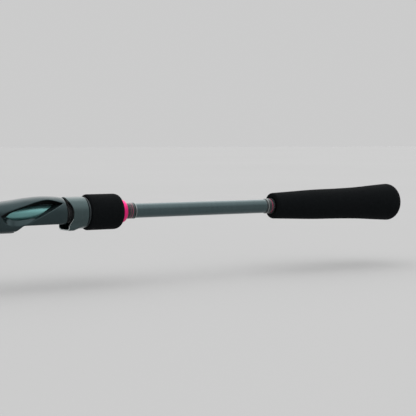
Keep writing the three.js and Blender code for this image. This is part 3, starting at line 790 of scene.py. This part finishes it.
def liner_field(x, y, z):
    """The hood's liner, open under the foot, with a key on top that runs in the barrel's keyway."""
    start, end, radius = node_span("hood_liner")
    from_axis = np.hypot(y, z)
    barrel_radius = node_box("threaded_barrel")[1][1]
    liner = meet([from_axis - radius, start - x, x - end], 0.4)
    liner = carve(liner, from_axis - barrel_radius - 0.1, 0.3)
    foot_space = meet([np.abs(y) - POCKET_HALF_WIDTH, z - BED_Z - 0.1, x - end + 3], 0.4)
    liner = carve(liner, foot_space, 0.4)
    key_half_width, key_depth = 1.1, 0.6
    key_sides = [np.abs(y) - key_half_width, barrel_radius - key_depth - z, z - barrel_radius - 1]
    key = meet([*key_sides, start - x, x - end], 0.2)
    return unite(liner, key, 0.2)


def make_hood():
    low, high = node_box("moving_hood")
    hood = new_piece("moving_hood", sculpted(hood_field, low, high, 0.2), HOOD)

    # The lower front rim takes the lighter polished metal: a real chamfer, lightened as a painted highlight
    # along it.
    def on_front_rim(x, y, z):
        scallop = HOOD_FRONT_X + SCALLOP_DEPTH - SCALLOP_RADIUS + np.sqrt(SCALLOP_RADIUS**2 - z**2)
        return (x < np.maximum(scallop, HOOD_FRONT_X + 0.5) + 0.25) & (z < -4)

    second_finish(hood, RIM_HIGHLIGHT_METAL, on_front_rim)
    low, high = node_box("hood_liner")
    new_piece("hood_liner", sculpted(liner_field, low, high, 0.3), NYLON)


def make_lock_nut():
    bore = node_box("threaded_barrel")[1][1] + 0.1
    plain_ring("nut_lip_ring", bore, DARK_METAL, 0.35)
    plain_ring("lock_nut", bore, NYLON)

    start, end, radius = node_span("nut_grip")
    side = swept_outline([(end - 4.6, radius), (end - 2.9, radius - 0.35), (end - 1.4, radius - 1.25),
                          (end - 0.4, radius - 2.6), (end, radius - 3.4)], 14)
    nut_radius = node_span("lock_nut")[2] + 0.05
    outline = [(start, nut_radius), (start, radius - 1.1), (start + 0.2, radius - 0.55),
               (start + 0.6, radius - 0.15), (start + 1.2, radius), (start + 4, radius), *side,
               (end, nut_radius)]
    new_piece("nut_grip", turned(outline, GRIP_SIDES), FOAM)

    start, end, radius = node_span("nut_end_ring")
    inner = HANDLE_RADIUS + 0.7  # clears the trim wrap when the nut is run back
    cone = rounded([(start, inner), (start, radius), (start + 1.9, radius - 0.2, 1.0),
                    (end - 1.1, radius - 0.7, 0.7), (end, radius - 1.9, 0.4), (end, inner, 0.1)], 0.25)
    new_piece("nut_end_ring", turned(cone), PINK_METAL)


# ---------------------------------------------------------------- foregrip


def make_foregrip():
    bore = HANDLE_RADIUS + GLUE_GAP
    plain_ring("foregrip_rear_check", bore, PINK_METAL, 0.4)
    start, end, radius = node_span("foregrip")
    side = swept_outline([(start + 1.2, 7.9), (-425, 8.45), (-416, 9.6), (-408, 10.4), (-403.5, radius),
                          (-401, 10.35), (end, 9.8)], 30)
    outline = [(start, bore), (start, 6.9), (start + 0.2, 7.4), (start + 0.6, 7.7), *side, (end, bore)]
    new_piece("foregrip", turned(outline, GRIP_SIDES), FOAM)
    start, end, radius = node_span("foregrip_check")
    corners = [(start, bore), (start, radius - 0.9), (end, radius), (end, bore)]
    new_piece("foregrip_check", turned(rounded(corners, 0.3)), PINK_METAL)


# ---------------------------------------------------------------- thread over a foot


def hull_radius(angles, circle, corners):
    """Distance from the axis, at each angle, of a loop pulled tight round a circle and two corners."""
    normals = np.linspace(0, 2 * math.pi, 720, endpoint=False)
    support = np.full(len(normals), circle)
    for y, z in corners:
        support = np.maximum(support, y * np.cos(normals) + z * np.sin(normals))
    facing = np.cos(angles[:, None] - normals)
    reach = np.where(facing > 0.05, support / np.maximum(facing, 0.05), np.inf)
    return reach.min(axis=1)


class Foot:
    """A guide's foot that lies along the blank's underside. It is thickest at its start, beside the
    ring, and is ground down to a thin end."""

    def __init__(self, node, blank_radius, half_width, thickness):
        low, high = node_box(node)
        self.low_x, self.high_x = low[0], high[0]
        self.blank_radius = blank_radius
        self.half_width = half_width
        self.thickness = thickness
        self.top = float(blank_radius(self.high_x)) + 0.1

    def starts_at(self, ring_x):
        """The foot's end nearest the ring, and the direction in which it runs from there."""
        return (self.low_x, 1) if self.low_x > ring_x else (self.high_x, -1)

    def depth(self, x, start_x, direction):
        """How far under the axis the foot reaches."""
        share = np.clip(direction * (x - start_x) / (self.high_x - self.low_x), 0, 1)
        return self.top + mix(self.thickness, 0.3, share**1.5)

    def wrap(self, start_x, direction):
        """Thread over the foot: its outer surface, then its inner one, as rows of points."""
        columns = 72
        angles = np.arange(columns) * 2 * math.pi / columns
        run_in = np.linspace(0, 1.1, 6)
        middle = np.linspace(self.low_x + 1.3, self.high_x - 1.3, 8)
        stations = np.concatenate([self.low_x + run_in, middle, self.high_x - run_in[::-1]])
        rise = np.sin(np.linspace(0, math.pi / 2, 6)) * 0.42
        wall = np.concatenate([rise, np.full(8, rise[-1]), rise[::-1]]) + 0.03
        outer = list(zip(stations, wall))
        inner = [(x, 0.0) for x in np.linspace(self.high_x, self.low_x, 8)]
        rows = []
        for x, thickness in outer + inner:
            circle = float(self.blank_radius(x)) + 0.02 + thickness
            depth = self.depth(x, start_x, direction) + 0.02 + thickness
            half_width = self.half_width + 0.02 + thickness * 0.6
            radius = hull_radius(angles, circle, [(half_width, -depth), (-half_width, -depth)])
            y, z = radius * np.cos(angles), radius * np.sin(angles)
            rows.append(np.stack([np.full(columns, x), y, z], 1))
        return np.concatenate(rows), grid_faces(len(rows), columns)


def foot_field(x, y, z, foot, start_x, direction):
    """A foot, which comes out of its wrap on the ring's side to meet the legs."""
    depth = foot.depth(x, start_x, direction)
    lead = 2.5
    ends = [foot.low_x - x, x - foot.high_x]
    ends[0 if direction > 0 else 1] -= lead
    return meet([np.abs(y) - foot.half_width, z + foot.top, -depth - z, *ends], 0.25)


# ---------------------------------------------------------------- line guides


def make_guide(label, blank_radius):
    """A line guide: a hoop on two legs to each foot, its ceramic ring, and the thread over each foot."""
    low, high = node_box(f"{label}_ring")
    ring_x, _, ring_z = (low + high) / 2
    ring_radius = (high[1] - low[1]) / 2
    ring_size = 2 * ring_radius
    frame_radius = ring_radius + 0.5 + ring_size * 0.02
    frame_half = 0.5 + ring_size * 0.03
    leg_radius = 0.35 + ring_size * 0.02
    wraps = [node for node in BODY_OF if node.startswith(f"{label}_") and node.endswith("wrap")]
    feet = [Foot(node, blank_radius, 0.6 + ring_size * 0.05, 0.45 + ring_size * 0.03) for node in wraps]

    legs = []
    for foot in feet:
        start_x, direction = foot.starts_at(ring_x)
        foot_x = start_x - direction * 1.5
        foot_z = -foot.top - foot.thickness / 2
        for side in (1, -1):
            legs.append(bow(
                (ring_x, side * frame_radius * 0.83, ring_z + frame_radius * 0.5),
                (mix(ring_x, foot_x, 0.45), side * frame_radius * 0.6, mix(ring_z, foot_z, 0.75)),
                (foot_x, side * foot.half_width * 0.4, foot_z)))

    def frame_field(x, y, z):
        from_ring = np.hypot(y, z - ring_z)
        middle = ring_radius + 0.05 + (frame_radius - ring_radius) / 2
        wall = (frame_radius - ring_radius) / 2
        hoop = smooth_max(np.abs(from_ring - middle) - wall, np.abs(x - ring_x) - frame_half, 0.3)
        result = hoop
        for leg in legs:
            result = unite(result, wire_field(x, y, z, leg, leg_radius * 1.15, leg_radius), 0.5)
        for foot in feet:
            result = unite(result, foot_field(x, y, z, foot, *foot.starts_at(ring_x)), 0.5)
        return carve(result, smooth_max(from_ring - ring_radius - 0.04, np.abs(x - ring_x) - 5, 0.2), 0.2)

    low, high = node_box(f"{label}_frame")
    new_piece(f"{label}_frame", sculpted(frame_field, low, high, 0.16 + ring_size * 0.008), GUIDE)
    make_ceramic(f"{label}_ring")
    for node, foot in zip(wraps, feet):
        start_x, direction = foot.starts_at(ring_x)
        new_piece(node, foot.wrap(start_x, direction), THREAD)


def make_ceramic(node):
    """A ceramic ring whose bore is rounded for the line."""
    low, high = node_box(node)
    ring_x, _, ring_z = (low + high) / 2
    half = (high[0] - low[0]) / 2
    radius = (high[1] - low[1]) / 2
    bore = radius * 0.72 + 0.1
    across = np.linspace(-0.9, 0.9, 13) * math.pi / 2
    round_bore = [(ring_x - half * math.sin(a), bore + 0.45 * (1 - math.cos(a))) for a in across]
    outline = [(ring_x - half, radius - 0.2), (ring_x - half + 0.2, radius), (ring_x + half - 0.2, radius),
               (ring_x + half, radius - 0.2), (ring_x + half, bore + 0.8), *round_bore,
               (ring_x - half, bore + 0.8)]
    new_piece(node, turned(outline, 72, (0, ring_z)), CERAMIC)


def make_tip_top():
    """The tip's ring: a tube over the blank's end, a hoop under it, a strut and two braces."""
    low, high = node_box("tip_top_ring")
    ring_x, _, ring_z = (low + high) / 2
    ring_radius = (high[1] - low[1]) / 2
    frame_radius = ring_radius + 0.6
    low, high = node_box("tip_top_frame")
    tube_radius = high[2]
    tube_end = high[0]
    braces = [bow((ring_x, side * frame_radius * 0.8, ring_z + 1.5),
                  (low[0] + 4, side * frame_radius * 0.7, ring_z * 0.6),
                  (low[0] + 11, side * tube_radius * 0.5, -tube_radius * 0.8)) for side in (1, -1)]

    def tip_top_field(x, y, z):
        from_axis = np.hypot(y, z)
        from_ring = np.hypot(y, z - ring_z)
        result = meet([from_axis - tube_radius, low[0] - x, x - tube_end], 0.3)
        hoop = smooth_max(np.abs(from_ring - ring_radius - 0.33) - 0.28, np.abs(x - ring_x) - 0.75, 0.25)
        result = unite(result, hoop, 0.4)
        strut_top = np.array((ring_x, 0, -tube_radius + 0.3))
        strut_foot = np.array((ring_x, 0, ring_z + frame_radius - 0.3))
        result = unite(result, wire_field(x, y, z, [strut_top, strut_foot], 0.6, 0.6), 0.5)
        for brace in braces:
            result = unite(result, wire_field(x, y, z, brace, 0.42, 0.42), 0.4)
        result = carve(result, from_ring - ring_radius - 0.04, 0.2)
        return carve(result, smooth_max(from_axis - tube_radius + 0.4, low[0] - 1 - x, 0.2), 0.2)

    new_piece("tip_top_frame", sculpted(tip_top_field, low, high, 0.16), GUIDE)
    make_ceramic("tip_top_ring")
    start, end, radius = node_span("tip_top_wrap")
    bore = tip_radius(end) + 0.03
    new_piece("tip_top_wrap", turned(wound(start, end, bore, radius - bore), 64), THREAD)


def make_hook_keeper():
    """A wire loop under the blank, whose two feet are bound down."""
    low, high = node_box("hook_keeper")
    middle = (low[0] + high[0]) / 2
    wraps = ["keeper_front_wrap", "keeper_rear_wrap"]
    feet = [Foot(node, butt_radius, 0.7, 0.9) for node in wraps]
    wire_z = -feet[0].top - 0.45
    ends = [feet[0].high_x - 1, feet[1].low_x + 1]
    loop = bow((ends[0], 0, wire_z), (middle, 0, wire_z - 11), (ends[1], 0, wire_z), 16)

    def keeper_field(x, y, z):
        result = wire_field(x, y, z, loop, 0.55, 0.55)
        for foot in feet:
            result = unite(result, foot_field(x, y, z, foot, *foot.starts_at(middle)), 0.5)
        return result

    new_piece("hook_keeper", sculpted(keeper_field, low, high, 0.16), GUIDE)
    for node, foot in zip(wraps, feet):
        new_piece(node, foot.wrap(*foot.starts_at(middle)), THREAD)


# ---------------------------------------------------------------- light, floor and camera


def make_stage():
    """A pale floor just under the lowest guide. Its size and height are in metres."""
    size = 20
    floor_z = cad_box[0][2] - 0.0003
    corners = [(x, y, floor_z) for x, y in ((-size, -size), (size, -size), (size, size), (-size, size))]
    mesh = bpy.data.meshes.new("floor")
    mesh.from_pydata(corners, [], [(0, 1, 2, 3)])
    floor = bpy.data.objects.new("floor", mesh)
    bpy.context.scene.collection.objects.link(floor)
    finish = Finish("floor", {"Roughness": 0.9, "Specular IOR Level": 0.1})
    clouds = finish.noise(900, 2)
    finish.feed("Base Color", finish.blend(clouds, colour(0.43, 0.43, 0.43), colour(0.45, 0.45, 0.45)))
    mesh.materials.append(finish.material)


def make_light():
    """A pale studio dome, and one wide soft light from above, behind and the butt's side."""
    world = bpy.data.worlds.new("studio")
    bpy.context.scene.world = world
    world.use_nodes = True
    tree = world.node_tree
    background = tree.nodes["Background"]
    place = tree.nodes.new("ShaderNodeTexCoord")
    parts = tree.nodes.new("ShaderNodeSeparateXYZ")
    ramp = tree.nodes.new("ShaderNodeValToRGB")
    tree.links.new(place.outputs["Generated"], parts.inputs[0])
    tree.links.new(parts.outputs["Z"], ramp.inputs[0])
    tree.links.new(ramp.outputs[0], background.inputs[0])
    ramp.color_ramp.interpolation = "EASE"
    horizon, overhead = ramp.color_ramp.elements
    horizon.position, horizon.color = 0.15, colour(0.40, 0.40, 0.40)
    overhead.position, overhead.color = 0.9, colour(1, 1, 1)
    background.inputs["Strength"].default_value = 1.5
    light = bpy.data.lights.new("soft_light", "SUN")
    light.energy = 0.6
    light.angle = math.radians(60)
    lamp = bpy.data.objects.new("soft_light", light)
    lamp.rotation_euler = Vector((0.54, 0.54, 0.64)).to_track_quat("Z", "Y").to_euler()
    bpy.context.scene.collection.objects.link(lamp)
    bpy.context.scene.view_settings.view_transform = "Standard"


def make_camera():
    away = Vector((
        math.sin(CAMERA_AZIMUTH) * math.cos(CAMERA_ELEVATION),
        -math.cos(CAMERA_AZIMUTH) * math.cos(CAMERA_ELEVATION),
        math.sin(CAMERA_ELEVATION)))
    data = bpy.data.cameras.new("camera")
    data.lens = CAMERA_LENS
    data.sensor_width = 36
    data.clip_start = 0.01
    camera = bpy.data.objects.new("camera", data)
    camera.location = CAMERA_TARGET + away * CAMERA_DISTANCE
    camera.rotation_euler = away.to_track_quat("Z", "Y").to_euler()
    bpy.context.scene.collection.objects.link(camera)
    bpy.context.scene.camera = camera


make_camera()
make_light()
make_stage()
make_blank()
make_rear_grip()
make_trim()
make_seat()
make_barrel()
make_hood()
make_lock_nut()
make_foregrip()
make_hook_keeper()
make_guide("stripper_guide", butt_radius)
for number in range(2, 8):
    make_guide(f"guide_{number}", tip_radius)
make_tip_top()
